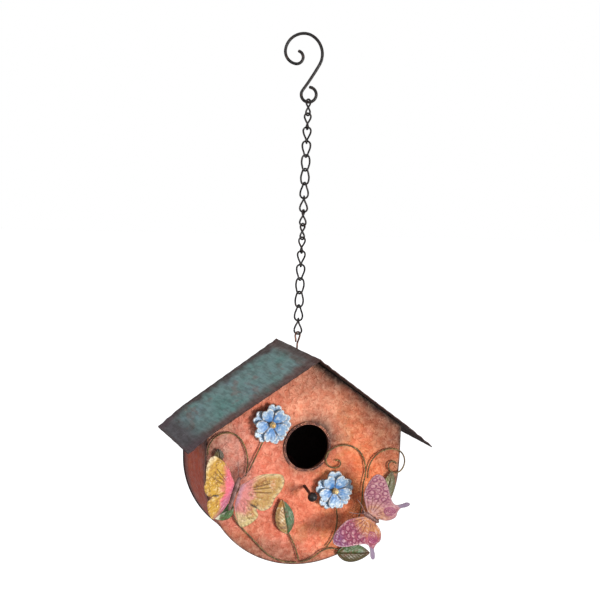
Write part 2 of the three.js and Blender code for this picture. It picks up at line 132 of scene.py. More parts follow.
def make_studio():
    """A white room: it looks white and lights the object softly, and four lamps give the shadows."""
    scene = bpy.context.scene
    scene.view_settings.view_transform = "Standard"
    world = bpy.data.worlds.new("studio")
    world.use_nodes = True
    scene.world = world
    nodes = world.node_tree.nodes
    links = world.node_tree.links
    nodes.clear()
    path = nodes.new("ShaderNodeLightPath")
    mix = nodes.new("ShaderNodeMixShader")
    output = nodes.new("ShaderNodeOutputWorld")
    links.new(path.outputs["Is Camera Ray"], mix.inputs[0])
    links.new(mix.outputs[0], output.inputs["Surface"])
    light, looks = ((0.95, 0.97, 1, 1), 0.42), ((1, 1, 1, 1), 1.0)
    for socket, (colour, strength) in zip(list(mix.inputs)[1:], (light, looks)):
        background = nodes.new("ShaderNodeBackground")
        background.inputs["Color"].default_value = colour
        background.inputs["Strength"].default_value = strength
        links.new(background.outputs[0], socket)

    middle = (0, 0, -0.34)
    make_lamp("key", (0.78, -1.42, -0.52), 0.55, 31, (1, 0.985, 0.96), middle)
    make_lamp("left_fill", (-1.5, -0.9, 0.1), 0.9, 14, (0.97, 0.985, 1), middle)
    make_lamp("top_fill", (-0.4, -0.2, 1.3), 1.1, 9, (1, 1, 1), middle)
    make_lamp("back_fill", (0.5, 1.6, 0.2), 1.1, 13, (1, 1, 1), middle)

    floor = bpy.data.meshes.new("floor")
    reach = 14.0
    drop = 0.75
    low = cad_bounds[0].z - drop
    corners = [(x * reach, y * reach, low) for x, y in ((-1, -1), (1, -1), (1, 1), (-1, 1))]
    floor.from_pydata(corners, [], [(0, 1, 2, 3)])
    ground = bpy.data.objects.new("floor", floor)
    bpy.context.scene.collection.objects.link(ground)
    pale = bpy.data.materials.new("pale_floor")
    pale.use_nodes = True
    shader = pale.node_tree.nodes["Principled BSDF"]
    shader.inputs["Base Color"].default_value = (0.9, 0.9, 0.9, 1)
    shader.inputs["Roughness"].default_value = 0.9
    shader.inputs["Emission Color"].default_value = (1, 1, 1, 1)
    shader.inputs["Emission Strength"].default_value = 0.8
    floor.materials.append(pale)
    ground.visible_diffuse = False
    ground.visible_glossy = False


# ---- colour and noise
def tint(code):
    """A colour as linear light from its usual six hexadecimal digits."""
    shares = np.array([(code >> shift & 255) / 255 for shift in (16, 8, 0)])
    return np.where(shares > 0.04045, ((shares + 0.055) / 1.055) ** 2.4, shares / 12.92)


def over(base, top, amount):
    """top laid over base, by an amount from 0 to 1 at each point."""
    return base + (top - base) * np.clip(amount, 0, 1)[:, None]


def layered(base, *layers):
    """Paint of one colour with layers over it, each a colour and how much of it covers the ones before."""
    paint = tint(base)
    for code, amount in layers:
        paint = over(paint, tint(code), amount)
    return paint


def cloud(points, size, octaves=3, seed=0):
    """Smooth noise from about -1 to 1 at each point, with patches about as wide as size."""
    shift = Vector((17.1, 5.3, 9.7)) * seed
    scaled = np.asarray(points) / size
    return np.array([noise.fractal(Vector(p) + shift, 0.9, 2.1, octaves) for p in scaled])


def unit(rows):
    return rows / np.linalg.norm(rows, axis=1)[:, None]


def ease(value, low, high):
    """0 up to low, 1 from high on, and a smooth step between them."""
    share = np.clip((value - low) / (high - low), 0, 1)
    return share * share * (3 - 2 * share)


def line(distance, width):
    """1 on a line, fading to almost nothing at twice the width."""
    return np.exp(-((distance / width) ** 2))


# ---- materials
class Finish:
    """A material worked out by nodes from the place on the object, in metres."""

    def __init__(self, name, metallic, roughness, coat=0.0, specular=0.5):
        self.material = bpy.data.materials.new(name)
        self.material.use_nodes = True
        self.tree = self.material.node_tree
        self.shader = self.tree.nodes["Principled BSDF"]
        self.shader.inputs["Metallic"].default_value = metallic
        self.shader.inputs["Roughness"].default_value = roughness
        self.shader.inputs["Specular IOR Level"].default_value = specular
        self.shader.inputs["Coat Weight"].default_value = coat
        self.shader.inputs["Coat Roughness"].default_value = 0.25
        self.place = self.tree.nodes.new("ShaderNodeTexCoord").outputs["Object"]

    def put(self, value, socket):
        if isinstance(value, bpy.types.NodeSocket):
            self.tree.links.new(value, socket)
        elif isinstance(value, (int, float)):
            socket.default_value = value
        else:
            socket.default_value = (*value, 1)

    def node(self, kind, inputs, **settings):
        made = self.tree.nodes.new(f"ShaderNode{kind}")
        for name, value in settings.items():
            setattr(made, name, value)
        for socket, value in inputs.items():
            self.put(value, made.inputs[socket])
        return made

    def painted(self):
        return self.node("Attribute", {}, attribute_name="paint").outputs["Color"]

    def grain(self, size, detail=3, roughness=0.55, stretch=(1, 1, 1), distortion=0):
        mapping = self.node("Mapping", {"Vector": self.place})
        mapping.inputs["Scale"].default_value = stretch
        inputs = {"Vector": mapping.outputs["Vector"], "Scale": 1 / size, "Detail": detail}
        inputs.update({"Roughness": roughness, "Distortion": distortion})
        return self.node("TexNoise", inputs).outputs["Fac"]

    def cells(self, size):
        inputs = {"Vector": self.place, "Scale": 1 / size}
        return self.node("TexVoronoi", inputs, feature="SMOOTH_F1").outputs["Distance"]

    def band(self, value, low, high, low_to=0.0, high_to=1.0):
        """low_to up to low, high_to from high on, and a smooth step between them."""
        inputs = {"Value": value, "From Min": low, "From Max": high, "To Min": low_to, "To Max": high_to}
        return self.node("MapRange", inputs, interpolation_type="SMOOTHSTEP").outputs["Result"]

    def maths(self, operation, first, second):
        return self.node("Math", {0: first, 1: second}, operation=operation).outputs[0]

    def mix(self, amount, first, second, blend="MIX"):
        node = self.node("Mix", {"Factor": amount}, data_type="RGBA", blend_type=blend)
        sockets = [socket for socket in node.inputs if socket.type == "RGBA"]
        self.put(first, sockets[0])
        self.put(second, sockets[1])
        return next(socket for socket in node.outputs if socket.type == "RGBA")

    def set(self, colour, roughness=None, height=None, depth=0.0002):
        self.put(colour, self.shader.inputs["Base Color"])
        if roughness is not None:
            self.put(roughness, self.shader.inputs["Roughness"])
        if height is not None:
            bump = self.node("Bump", {"Distance": depth, "Height": height})
            self.put(bump.outputs["Normal"], self.shader.inputs["Normal"])
        return self.material


def wire_finish(name, dark, warm, wear_and_painted_light, metallic=0.45, roughness=0.45):
    """Lacquered wire: patches of two tones, small bright patches, and pitted lacquer. The bright patches are
    wear on the wires and a painted highlight on the bead.
    """
    finish = Finish(name, metallic, roughness)
    patches = finish.band(finish.grain(5 * MM, 4), 0.4, 0.66)
    base = finish.mix(patches, tint(dark), tint(warm))
    # bright patches: wear on the wires, a painted highlight on the bead
    wear = finish.band(finish.grain(1.6 * MM, 3), 0.6, 0.72)
    pits = finish.grain(0.6 * MM, 4)
    rough = finish.band(pits, 0.3, 0.7, roughness - 0.12, roughness + 0.2)
    return finish.set(finish.mix(wear, base, tint(wear_and_painted_light)), rough, pits, 0.00012)


def painted_finish(name, metallic, roughness, coat, speckle, grain, depth=0.00012, level=1.0):
    """Brushed-on paint: the piece's own colours, broken up by fine speckle, over slightly uneven metal.

    grain is the speckle's size in millimetres, and level dims or brightens the colours."""
    finish = Finish(name, metallic, roughness, coat)
    fine = finish.grain(grain * MM, 4, 0.65)
    light = finish.band(fine, 0.32, 0.68, level * (1 - speckle), level * (1 + speckle * 0.6))
    combined = finish.node("CombineColor", dict.fromkeys(("Red", "Green", "Blue"), light))
    colour = finish.mix(1.0, finish.painted(), combined.outputs["Color"], "MULTIPLY")
    rough = finish.band(finish.grain(4 * MM, 3), 0.35, 0.65, roughness - 0.1, roughness + 0.14)
    return finish.set(colour, rough, fine, depth)


def hammered_finish():
    """The front's pebbled sheet: grain like orange peel on top of the hammered shape, with painted shade in
    its hollows and a painted highlight on its crests.
    """
    finish = Finish("front_paint", metallic=0.05, roughness=0.6, specular=0.35)
    pebbles = finish.cells(4.2 * MM)
    crinkle = finish.grain(3.1 * MM, 3, 0.6, distortion=1.2)
    height = finish.maths("ADD", finish.maths("MULTIPLY", pebbles, 0.5), crinkle)
    shade = finish.band(height, 0.5, 1.05)
    # painted shade darkens the hollows of the grain and a painted highlight lightens its crests
    valley_shade = finish.mix(1.0, finish.painted(), tint(0xE6C9BC), "MULTIPLY")
    crest_highlight = finish.mix(0.1, finish.painted(), tint(0xFFD9B8))
    rough = finish.band(finish.grain(6 * MM, 3), 0.35, 0.65, 0.5, 0.72)
    return finish.set(finish.mix(shade, valley_shade, crest_highlight), rough, height, 0.002)


def patina_finish():
    """The roof's verdigris: painted patches, streaks along the ridge, and dull speckles."""
    finish = Finish("roof_patina", metallic=0.1, roughness=0.8, specular=0.3)
    streaks = finish.grain(3.2 * MM, 4, 0.6, (1, 0.18, 1))
    speckle = finish.grain(1.3 * MM, 4, 0.65)
    dark = finish.mix(finish.band(streaks, 0.36, 0.62), tint(0xD6CFCC), tint(0xFFFFFF))
    colour = finish.mix(1.0, finish.painted(), dark, "MULTIPLY")
    lit = finish.mix(finish.band(speckle, 0.58, 0.74, 0, 0.28), colour, tint(0x86A099))
    rough = finish.band(finish.grain(5 * MM, 3), 0.35, 0.65, 0.72, 0.92)
    height = finish.maths("ADD", streaks, finish.maths("MULTIPLY", speckle, 0.5))
    return finish.set(lit, rough, height, 0.00022)


MATERIALS = {}


def make_materials():
    MATERIALS.update({
        "wire": wire_finish("wire_lacquer", 0x0E0B0A, 0x1E1513, 0x4E362C, metallic=0.25, roughness=0.4),
        "eye_wire": wire_finish("eye_lacquer", 0x4A3028, 0x6E4636, 0x9A7058),
        "vine_wire": wire_finish("vine_paint", 0x4A3A1E, 0x6E562C, 0xA08A4C, metallic=0.3, roughness=0.5),
        "rim": wire_finish("rim_copper", 0x4A2A24, 0x86503C, 0xC08A68, metallic=0.5, roughness=0.35),
        # the bead's near-white tone, laid on in bright patches, is a painted highlight
        "bead": wire_finish("bead_gold", 0xC89A52, 0xEBD09A, 0xFFF4D8, metallic=0.5, roughness=0.28),
        "insect": wire_finish("insect_paint", 0x5C3C38, 0x84605A, 0xB69A8C, metallic=0.2, roughness=0.5),
        "front_sheet": hammered_finish(),
        "roof_sheet": patina_finish(),
        "copper_sheet": painted_finish(
            "copper_paint", metallic=0.2, roughness=0.5, coat=0, speckle=0.22, grain=1.8, depth=0.0005
        ),
        "petal": painted_finish(
            "petal_paint", metallic=0.05, roughness=0.42, coat=0.2, speckle=0.1, grain=0.8, level=0.82
        ),
        "leaf": painted_finish(
            "leaf_paint", metallic=0.05, roughness=0.5, coat=0.1, speckle=0.2, grain=0.9, level=0.78
        ),
        "wing": painted_finish(
            "wing_paint", metallic=0.08, roughness=0.42, coat=0.2, speckle=0.12, grain=0.8, level=0.88
        ),
    })


# ---- meshes
def welded(node):
    mesh = bmesh.new()
    mesh.from_mesh(frame["nodes"][node].data)
    bmesh.ops.remove_doubles(mesh, verts=mesh.verts, dist=1e-6)
    mesh.verts.ensure_lookup_table()
    return mesh


def places_of(corners):
    return np.array([tuple(corner.co) for corner in corners])


def middle_of(node):
    low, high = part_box(node)
    return (low + high) / 2


def piece(node, points, faces, material, paint=None, sharp=50):
    """A finished mesh that stands for a CAD node and moves with that node's body."""
    mesh = bpy.data.meshes.new(f"{node}_looks")
    mesh.from_pydata(np.asarray(points).tolist(), [], faces)
    mesh.polygons.foreach_set("use_smooth", [True] * len(faces))
    mesh.set_sharp_from_angle(angle=math.radians(sharp))
    if paint is not None:
        layer = mesh.color_attributes.new("paint", "FLOAT_COLOR", "POINT")
        layer.data.foreach_set("color", np.hstack([paint, np.ones((len(paint), 1))]).ravel())
    mesh.materials.append(MATERIALS[material])
    mesh.update()
    made = bpy.data.objects.new(f"{node}_looks", mesh)
    bpy.context.scene.collection.objects.link(made)
    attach(made, BODY_OF[node])
    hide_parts(node)
    return made


def faced_out(made):
    """Turns the faces of a closed mesh outwards."""
    mesh = bmesh.new()
    mesh.from_mesh(made.data)
    bmesh.ops.recalc_face_normals(mesh, faces=mesh.faces)
    mesh.to_mesh(made.data)
    mesh.free()


def skin(rings, sides):
    """The faces between closed rings of corners that follow each other."""
    faces = []
    for ring in range(rings - 1):
        for k in range(sides):
            a, b = ring * sides + k, ring * sides + (k + 1) % sides
            faces.append((a, b, b + sides, a + sides))
    return faces


# ---- bent wires
def end_cap(start):
    """The corners of the flat end that start belongs to: the flat group of faces with its corners closest.

    Dictionaries stand in for sets here and below, because they keep their order from run to run."""
    best = None
    for first in start.link_faces:
        group = {first: None}
        waiting = [first]
        while waiting:
            for edge in waiting.pop().edges:
                for face in edge.link_faces:
                    if face not in group and face.normal.dot(first.normal) > 0.97:
                        group[face] = None
                        waiting.append(face)
        corners = dict.fromkeys(corner for face in group for corner in face.verts)
        reach = max((corner.co - start.co).length for corner in corners) / len(corners)
        if len(group) > 1 and (best is None or reach < best[0]):
            best = (reach, corners)
    return best[1]


def rings_from(first):
    """Rings of corners, one step of edges apart, starting with the ring first."""
    seen = dict.fromkeys(first)
    rings = [list(seen)]
    while rings[-1]:
        near = dict.fromkeys(edge.other_vert(v) for v in rings[-1] for edge in v.link_edges)
        rings.append([v for v in near if v not in seen])
        seen.update(near)
    return rings[:-1]


def centreline(node):
    """The middle of a bent wire, end to end, and its radius, read from the rings of its CAD mesh."""
    mesh = welded(node)
    far = rings_from([mesh.verts[0]])[-1]
    rings = rings_from(end_cap(far[0]))
    middles = [sum((v.co for v in ring), Vector()) / len(ring) for ring in rings]
    radius = max((v.co - middles[0]).length for v in rings[0])
    mesh.free()
    return np.array([tuple(m) for m in middles]), radius


def through(points, parts):
    """A smooth curve through the points, with that many parts between neighbours."""
    padded = np.vstack([2 * points[0] - points[1], points, 2 * points[-1] - points[-2]])
    share = np.linspace(0, 1, parts, endpoint=False)[:, None]
    curve = []
    for a, b, c, d in zip(padded, padded[1:], padded[2:], padded[3:]):
        curve.append(0.5 * (
            2 * b + (c - a) * share + (2 * a - 5 * b + 4 * c - d) * share ** 2
            + (3 * b - a - 3 * c + d) * share ** 3
        ))
    return np.vstack([*curve, points[-1:]])


def tube(points, radius, sides=12, uneven=0.03):
    """Corners and faces of a round wire with slightly domed ends, a little uneven like bent wire."""
    ways = unit(np.gradient(points, axis=0))
    lead, trail = points[0] - ways[0] * radius * 0.4, points[-1] + ways[-1] * radius * 0.4
    points = np.vstack([lead, points, trail])
    ways = np.vstack([ways[:1], ways, ways[-1:]])
    side = np.cross(ways[0], [0.3, 0.5, 0.81])
    angles = 2 * np.pi * np.arange(sides) / sides
    corners = []
    for i, (middle, way) in enumerate(zip(points, ways)):
        side = side - way * (side @ way)
        side /= np.linalg.norm(side)
        other = np.cross(way, side)
        size = radius * (1 + uneven * noise.noise(Vector(middle) / (4 * MM)))
        if i in (0, len(points) - 1):
            size *= 0.55
        corners.append(middle + size * (np.outer(np.cos(angles), side) + np.outer(np.sin(angles), other)))
    faces = skin(len(points), sides)
    faces.append(tuple(reversed(range(sides))))
    faces.append(tuple(range(len(points) * sides - sides, len(points) * sides)))
    return np.vstack(corners), faces


def make_wire(node, material, parts=3, sides=12):
    points, radius = centreline(node)
    made = piece(node, *tube(through(points, parts), radius, sides), material)
    made.data.validate()


# ---- embossed sheets
def boundaries(node, facing):
    """The outlines of one side of a CAD plate as closed rows of points, the longest first."""
    mesh = welded(node)
    side = dict.fromkeys(face for face in mesh.faces if face.normal.dot(facing) > 0.5)
    following = {}
    for face in side:
        for loop in face.loops:
            if not any(other in side for other in loop.edge.link_faces if other != face):
                following[loop.vert] = loop.link_loop_next.vert
    loops = []
    while following:
        first = next(iter(following))
        row = [first]
        while row[-1] in following:
            row.append(following.pop(row[-1]))
        loops.append(places_of(row[:-1]))
    mesh.free()
    return sorted(loops, key=lambda row: -np.ptp(row, axis=0).sum())


def rounded(row, spacing, corner=35):
    """A closed outline with a smooth curve between its points, except at corners."""
    ahead = np.roll(row, -1, axis=0) - row
    length = np.linalg.norm(ahead, axis=1)
    way = ahead / length[:, None]
    before = np.roll(way, 1, axis=0)
    before_length = np.roll(length, 1)
    tangent = unit(before * length[:, None] + way * before_length[:, None])
    sharp = (before * way).sum(1) < math.cos(math.radians(corner))
    smooth = []
    for i in range(len(row)):
        j = (i + 1) % len(row)
        leave = way[i] if sharp[i] else tangent[i]
        arrive = way[i] if sharp[j] else tangent[j]
        parts = max(1, round(length[i] / spacing))
        t = np.linspace(0, 1, parts, endpoint=False)[:, None]
        smooth.append(
            row[i] * (2 * t ** 3 - 3 * t ** 2 + 1) + row[j] * (3 * t ** 2 - 2 * t ** 3)
            + length[i] * (leave * (t ** 3 - 2 * t ** 2 + t) + arrive * (t ** 3 - t ** 2))
        )
    return np.vstack(smooth)


def inside(points, loops):
    crossed = np.zeros(len(points), bool)
    for row in loops:
        for (x1, y1), (x2, y2) in zip(row, np.roll(row, -1, axis=0)):
            spans = (points[:, 1] < y1) != (points[:, 1] < y2)
            if y1 != y2:
                crossed ^= spans & (points[:, 0] < x1 + (points[:, 1] - y1) * (x2 - x1) / (y2 - y1))
    return crossed


def edge_distance(points, loops):
    nearest = np.full(len(points), np.inf)
    for row in loops:
        for a, b in zip(row, np.roll(row, -1, axis=0)):
            along = b - a
            share = np.clip(((points - a) @ along) / max(along @ along, 1e-18), 0, 1)
            nearest = np.minimum(nearest, np.linalg.norm(points - a - share[:, None] * along, axis=1))
    return nearest


class Plate:
    """One side of a CAD plate as a fine mesh, laid out flat, ready to be embossed and painted.

    u and v are the flat coordinates, edge the distance to the outline, and place the points in 3-D."""

    def __init__(self, node, facing, spacing, along=(1, 0, 0), origin=(0, 0, 0)):
        self.node = node
        self.normal = np.array(facing)
        first = np.array(along) - self.normal * (np.array(along) @ self.normal)
        first /= np.linalg.norm(first)
        self.axes = np.array([first, np.cross(self.normal, first)])
        self.origin = np.array(origin)
        rows = [rounded(row, spacing) for row in boundaries(node, facing)]
        loops = [(row - self.origin) @ self.axes.T for row in rows]
        self.depth = max(float(((row - self.origin) @ self.normal).max()) for row in rows)
        low, high = loops[0].min(0), loops[0].max(0)
        pitch = spacing * math.sqrt(3) / 2
        lattice = []
        for k, y in enumerate(np.arange(low[1], high[1], pitch)):
            xs = np.arange(low[0] + (k % 2) * spacing / 2, high[0], spacing)
            lattice.append(np.column_stack([xs, np.full(len(xs), y)]))
        lattice = np.vstack(lattice)
        lattice = lattice[inside(lattice, loops)]
        lattice = lattice[edge_distance(lattice, loops) > 0.5 * spacing]
        rings = []
        count = 0
        for row in loops:
            rings.append(list(range(count, count + len(row))))
            count += len(row)
        seeds = [Vector(p) for p in np.vstack([*loops, lattice])]
        corners, _, faces, *_ = delaunay_2d_cdt(seeds, [], rings, 1, 1e-9)
        corners = np.array([tuple(p) for p in corners])
        faces = np.array([f for f in faces if len(f) == 3])
        faces = faces[inside(corners[faces].mean(1), loops)]
        self.u, self.v = corners.T
        self.faces = faces
        self.edge = edge_distance(corners, loops)
        self.place = self.origin + corners @ self.axes + self.normal * self.depth

    def sides(self):
        """The outline's edges, each as the two corners in the order of the face beside it."""
        corners = self.faces.tolist()
        edges = dict.fromkeys(pair for a, b, c in corners for pair in ((a, b), (b, c), (c, a)))
        return [(a, b) for a, b in edges if (b, a) not in edges]

    def build(self, relief, paint, thickness, material, dish=0.0, back=None):
        """relief and dish lift the metal towards the front, and back is a plain colour for the other side."""
        round_off = 0.3 * thickness * line(self.edge, 0.35 * MM)
        lift = np.asarray(relief)[:, None] * self.normal
        bow = np.broadcast_to(dish, self.edge.shape)[:, None] * self.normal
        front = self.place + bow + lift - round_off[:, None] * self.normal
        behind = self.place + bow + lift + (round_off - thickness)[:, None] * self.normal
        count = len(front)
        faces = [tuple(f) for f in self.faces.tolist()]
        faces += [(c + count, b + count, a + count) for a, b, c in self.faces.tolist()]
        faces += [(b, a, a + count, b + count) for a, b in self.sides()]
        back_paint = paint if back is None else np.broadcast_to(tint(back), paint.shape)
        both = np.vstack([paint, back_paint])
        return piece(self.node, np.vstack([front, behind]), faces, material, both, 40)


# ---- the painted front, back and door
def make_front():
    plate = Plate("front_panel", FRONT, 1.15 * MM)
    # x runs to the right and z up, in millimetres from where the hook hangs
    x, z = plate.u / MM, plate.v / MM
    place = plate.place
    hammer = cloud(place, 5.5 * MM, 2, 1)
    pebble = cloud(place, 2.6 * MM, 2, 2)
    relief = (0.26 * hammer + 0.18 * pebble) * MM * ease(plate.edge, 0, 2.5 * MM)

    wide = cloud(place, 45 * MM, 2, 3)
    patch = cloud(place, 17 * MM, 4, 4)
    small = cloud(place, 7 * MM, 4, 5)
    lilac = ease(-x + 10 * patch, 38, 60) * ease(40 - np.abs(z + 352), 0, 22)
    pale = ease(z + 12 * patch, -350, -318) * ease(40 - np.abs(x - 8), 0, 25)
    hole = middle_of("entrance_rim")
    from_rim = np.hypot(plate.u - hole.x, plate.v - hole.z) / MM - RIM_RADIUS
    # soot round the outline and the hole and at both sides, painted shade below the right eave, and soot at
    # the top and the bottom
    soot_and_eave_shade = np.maximum.reduce([
        np.exp(-plate.edge / (8 * MM)) * (0.7 + 0.5 * patch),
        np.exp(-np.maximum(from_rim, 0) / 5) * (0.5 + 0.5 * patch),
        ease(np.abs(x) + 8 * patch, 64, 88) * 0.66,
        # painted shade: the upper right of the front, below the right eave
        ease(x + 0.6 * (z + 345) + 12 * patch, 40, 75) * 0.62,
        ease(z + 10 * patch, -318, -288) * 0.5,
        ease(-z - 0.25 * x + 10 * patch, 416, 444) * 0.75,
    ])
    # painted shade: a dark strip under the right eave, where the roof overhangs the front
    eaves = np.exp(-plate.edge / (10 * MM)) * ease(x + 5 * patch, -8, 8) * ease(z, -356, -336)
    paint = layered(
        0xF28F6C,
        (0xE58672, ease(-x + 0.35 * (-z - 380) + 30 * wide, -25, 70)),
        (0xE28148, ease(x + 18 * patch + 25 * wide, 2, 55) * 0.75),
        (0xEC9A58, ease(patch + 0.4 * small, 0.1, 0.7) * ease(x, -60, 30) * 0.6),
        (0xC9562F, ease(-patch + 0.15 * small, 0.2, 0.8) * 0.45),
        (0xEDA084, ease(0.5 * small + 0.8 * patch, 0.35, 0.9) * 0.35),
        (0xB8764C, ease(wide - 0.5 * patch, 0.05, 0.5) * ease(-x - 0.2 * (z + 400), 10, 60) * 0.6),
        (0xC09A90, lilac * (0.5 + 0.3 * small)),
        (0xF6B494, pale * 0.5),
        (0x7C5342, soot_and_eave_shade + 0.1 * small * (soot_and_eave_shade > 0.05)),
        (0x9C8078, ease(-patch, 0.35, 0.9) * soot_and_eave_shade * 0.7),
        (0x4A2E26, eaves * (1.05 + 0.35 * patch)),
        (0x2E2120, line(plate.edge, 1.2 * MM) * 0.95),
    )
    plate.build(relief, paint, HOUSE_SHEET, "front_sheet", back=INSIDE)


def copper_paint(plate, seed):
    patch = cloud(plate.place, 14 * MM, 4, seed)
    small = cloud(plate.place, 5 * MM, 3, seed + 1)
    return layered(
        0x8F4C3E,
        (0xA85A42, ease(patch, 0, 0.8) * 0.8),
        (0x6A4648, ease(-patch + 0.3 * small, 0.1, 0.8) * 0.7),
        (0x54404A, np.exp(-plate.edge / (6 * MM)) * (0.85 + 0.3 * patch)),
    )


def make_back():
    plate = Plate("back_panel", BACK, 2.4 * MM, along=(-1, 0, 0))
    relief = 0.3 * MM * cloud(plate.place, 7 * MM, 2, 11) * ease(plate.edge, 0, 4 * MM)
    plate.build(relief, copper_paint(plate, 12), HOUSE_SHEET, "copper_sheet", back=INSIDE)
    door = Plate("cleanout_door", BACK, 1.2 * MM, along=(-1, 0, 0))
    swell = 0.12 * MM * cloud(door.place, 7 * MM, 2, 14)
    bead = 0.25 * MM * line(door.edge - 2.4 * MM, 0.9 * MM)
    relief = (swell + bead) * ease(door.edge, 0, 1.2 * MM)
    door.build(relief, copper_paint(door, 15), HOUSE_SHEET, "copper_sheet")


# ---- the roof and the side band
def eased_waves(loop, spacing):
    """The loop with its corrugations about half as deep, but for the ridge and the eaves."""
    reach = round(7 * MM / spacing)
    smooth = np.mean([np.roll(loop, k, axis=0) for k in range(-reach, reach + 1)], axis=0)
    across = np.abs(loop[:, 0]) / MM
    share = 0.55 * ease(across, 9, 14) * (1 - ease(across, 90, 96))
    return loop + (smooth - loop) * share[:, None]


def drawn_out(node, spacing, rows, relief, paint, material, ease_waves=False):
    """A bent sheet: the CAD part's cross-section, drawn from its front edge to its back edge."""
    front = rounded(boundaries(node, FRONT)[0], spacing)
    if ease_waves:
        front = eased_waves(front, spacing)
    behind = boundaries(node, BACK)[0]
    order = np.argsort(behind[:, 0])
    back_y = np.interp(front[:, 0], behind[order, 0], behind[order, 1])
    ahead = np.roll(front, -1, axis=0) - np.roll(front, 1, axis=0)
    outward = unit(np.column_stack([ahead[:, 2], np.zeros(len(ahead)), -ahead[:, 0]]))
    if (outward * (front - front.mean(0))).sum() < 0:
        outward = -outward
    count = len(front)
    shares = np.linspace(0, 1, rows + 1)
    whole_way = np.outer(back_y - front[:, 1], [0, 1, 0])
    places = np.vstack([front + share * whole_way for share in shares])
    normals = np.tile(outward, (rows + 1, 1))
    share = np.repeat(shares, count)
    lift, way = relief(places, share)
    faces = skin(rows + 1, count)
    flat_loop = [Vector((p[0], p[2])) for p in front]
    _, _, caps, *_ = delaunay_2d_cdt(flat_loop, [], [list(range(count))], 1, 1e-9)
    last = rows * count
    faces += [tuple(reversed(cap)) for cap in caps]
    faces += [tuple(last + k for k in cap) for cap in caps]
    painted = paint(places, share, normals)
    faced_out(piece(node, places + lift[:, None] * way, faces, material, painted, 40))


def roof_relief(places, share):
    """Beaten unevenness, the same on the top and the underside."""
    up = np.tile(np.array([0.0, 0.0, 1.0]), (len(places), 1))
    plan = places * [1, 1, 0]
    ends = ease(np.minimum(share, 1 - share), 0, 0.05)
    return 0.3 * MM * cloud(plan, 13 * MM, 2, 21) * ends - 0.1 * MM * ends, up


def roof_paint(places, share, normals):
    across = np.abs(places[:, 0]) / MM
    from_front = share * ROOF_DEPTH
    from_back = (1 - share) * ROOF_DEPTH
    plan = places * [1, 1, 0]
    streak = cloud(plan * [1, 0.16, 1], 5 * MM, 3, 22)
    patch = cloud(plan * [1, 0.45, 1], 17 * MM, 4, 23)
    small = cloud(plan * [1, 0.5, 1], 6 * MM, 3, 24)
    rust = ease(0.6 * streak - 0.4 * patch + 0.45 * small, 0.18, 0.62)
    front_band = 1 - ease(from_front + 7 * patch + 4 * streak, 5, 26)
    back_band = 1 - ease(from_back + 6 * patch + 6 * streak, 4, 22)
    ridge = 1 - ease(across + 3 * small, 3, 13)
    right_half = places[:, 0] >= 0
    # painted shade: the whole underside of the roof is coloured near black
    underside = normals[:, 2] < 0
    return layered(
        0x64807E,
        (0x527C76, ease(patch + 0.3 * streak, 0.0, 0.7) * 0.7),
        (0x6A8086, ease(-patch + 0.3 * small, 0.1, 0.8) * 0.65),
        (0x6E5348, rust * 0.5),
        (0x58342E, front_band * 0.92),
        (0x4A322E, (1 - ease(from_front, 0.5, 4)) * 0.7),
        (0x3E2A28, back_band * 0.95),
        (0x4E3430, ridge * 0.85),
        (0x4A3A40, ease(across + 4 * patch, 84, 100) * 0.85),
        (0x4A3A3A, ease(across, 104.5, 106.5) * 0.7),
        (0x6A5048, right_half * 0.35),
        (0x2E211F, underside * 0.85),
    )


def band_relief(places, share):
    """Shallow dents, the same on both faces of the band."""
    centre = np.array([0, 0, places[:, 2].mean()])
    ends = ease(np.minimum(share, 1 - share), 0, 0.1)
    dent = -0.15 * MM * (1 + cloud(places, 9 * MM, 2, 31)) * ends
    return dent, unit((places - centre) * [1, 0, 1])


def band_paint(places, share, _normals):
    from_edge = np.minimum(share, 1 - share) * BAND_WIDTH
    patch = cloud(places, 15 * MM, 3, 32)
    small = cloud(places, 5 * MM, 3, 33)
    return layered(
        0xA83E1C,
        (0xB9582E, ease(patch + 0.3 * small, 0, 0.8) * 0.8),
        (0x6A3A30, (1 - ease(from_edge + 4 * patch + 2 * small, 4, 17)) * 0.8),
        (0x40323A, (1 - ease(from_edge, 0, 4)) * 0.6),
    )


def make_shell():
    step = 1.0
    roof_rows, band_rows = round(56 / step), round(40 / step)
    drawn_out("roof", step * 0.7 * MM, roof_rows, roof_relief, roof_paint, "roof_sheet", ease_waves=True)
    drawn_out("side_band", step * 1.6 * MM, band_rows, band_relief, band_paint, "copper_sheet")


# ---- turned pieces
def turned(profile, base, axis, sides):
    """Corners and faces of a shape turned about axis from base. A profile of (radius, distance along)
    that starts away from the axis closes on itself."""
    base = np.array(base)
    axis = np.array(axis) / np.linalg.norm(axis)
    side = np.cross(axis, [0.21, 0.37, 0.9])
    side /= np.linalg.norm(side)
    other = np.cross(axis, side)
    closed = profile[0][0] > 0
    rings = [p for p in profile if p[0] > 0]
    angles = 2 * np.pi * np.arange(sides) / sides
    spokes = np.outer(np.cos(angles), side) + np.outer(np.sin(angles), other)
    corners = [base + axis * t + spokes * r for r, t in rings]
    faces = []
    for k in range(len(rings) - (0 if closed else 1)):
        after = (k + 1) % len(rings)
        for s in range(sides):
            n = (s + 1) % sides
            faces.append((k * sides + s, after * sides + s, after * sides + n, k * sides + n))
    corners = np.vstack(corners)
    if not closed:
        first, last = len(corners), len(corners) + 1
        corners = np.vstack([corners, base + axis * profile[0][1], base + axis * profile[-1][1]])
        top = (len(rings) - 1) * sides
        faces += [(first, s, (s + 1) % sides) for s in range(sides)]
        faces += [(last, top + (s + 1) % sides, top + s) for s in range(sides)]
    return corners, faces


def arc_profile(centre, along, radius, start, end, count):
    turns = np.radians(np.linspace(start, end, count))
    return [(centre + radius * math.cos(t), along + radius * math.sin(t)) for t in turns]


